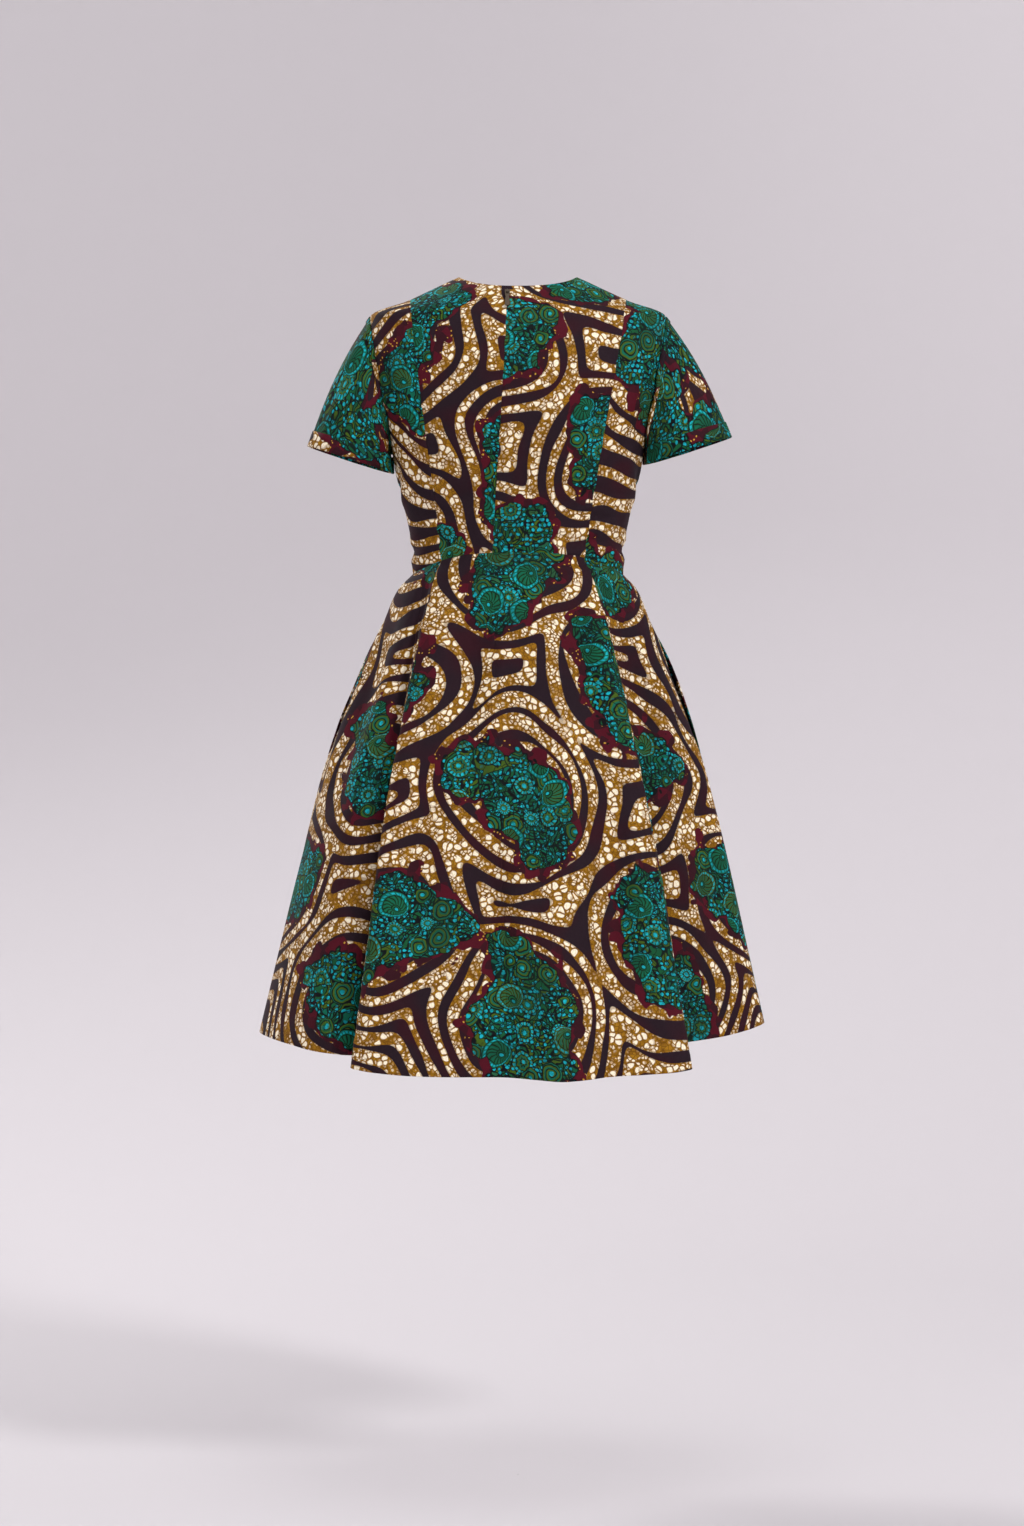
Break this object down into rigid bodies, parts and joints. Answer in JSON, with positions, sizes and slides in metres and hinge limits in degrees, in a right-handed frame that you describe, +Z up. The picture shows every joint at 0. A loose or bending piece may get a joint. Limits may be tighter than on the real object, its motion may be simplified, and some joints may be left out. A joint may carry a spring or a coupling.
{
  "type": "ankara wax print dress",
  "caption": "Knee-length fit-and-flare dress in wax-printed cotton, worn form: princess-seamed bodice, short set-in sleeves, flared panelled skirt, side pockets, back zip.",
  "frame": {"origin": "centre of the neck opening, level with the high points of the shoulders, where the dress hangs from its wearer", "axes": "+Z up along the body, +Y out of the back, -Y out of the front, +X to the wearer's left"},
  "size_m": [0.627, 0.5401, 0.964],
  "materials": {
    "wax_print_cotton": "crisp plain-weave cotton, wax-printed in green, turquoise, gold, cream, maroon and near-black, matte with a faint sheen",
    "pocket_cotton": "plain dark cotton, matte",
    "zip_tape": "woven zip tape with a nylon coil, matte",
    "zip_metal": "small lacquered dark slider and pull, satin"
  },
  "bodies": {
    "dress": {"bodice_back_left": "wax_print_cotton", "bodice_back_right": "wax_print_cotton", "bodice_front": "wax_print_cotton", "bodice_side_back_left": "wax_print_cotton", "bodice_side_back_right": "wax_print_cotton", "bodice_side_front_left": "wax_print_cotton", "bodice_side_front_right": "wax_print_cotton", "sleeve_left": "wax_print_cotton", "sleeve_right": "wax_print_cotton", "skirt_back_left": "wax_print_cotton", "skirt_side_back_left": "wax_print_cotton", "skirt_side_front_left": "wax_print_cotton", "skirt_front": "wax_print_cotton", "skirt_side_front_right": "wax_print_cotton", "skirt_side_back_right": "wax_print_cotton", "skirt_back_right": "wax_print_cotton", "pocket_bag_left": "pocket_cotton", "pocket_bag_right": "pocket_cotton", "zip_tape_left": "zip_tape", "zip_tape_right": "zip_tape", "zip_slider": "zip_metal"},
    "pull_tab": {"zip_pull": "zip_metal"}
  },
  "joints": [
    {"name": "pull_tab_hinge", "type": "hinge", "parent": "dress", "child": "pull_tab", "pos_m": [0.013, 0.06277, -0.02316], "axis": [1, 0, 0], "range_deg": [0, 150]}
  ]
}
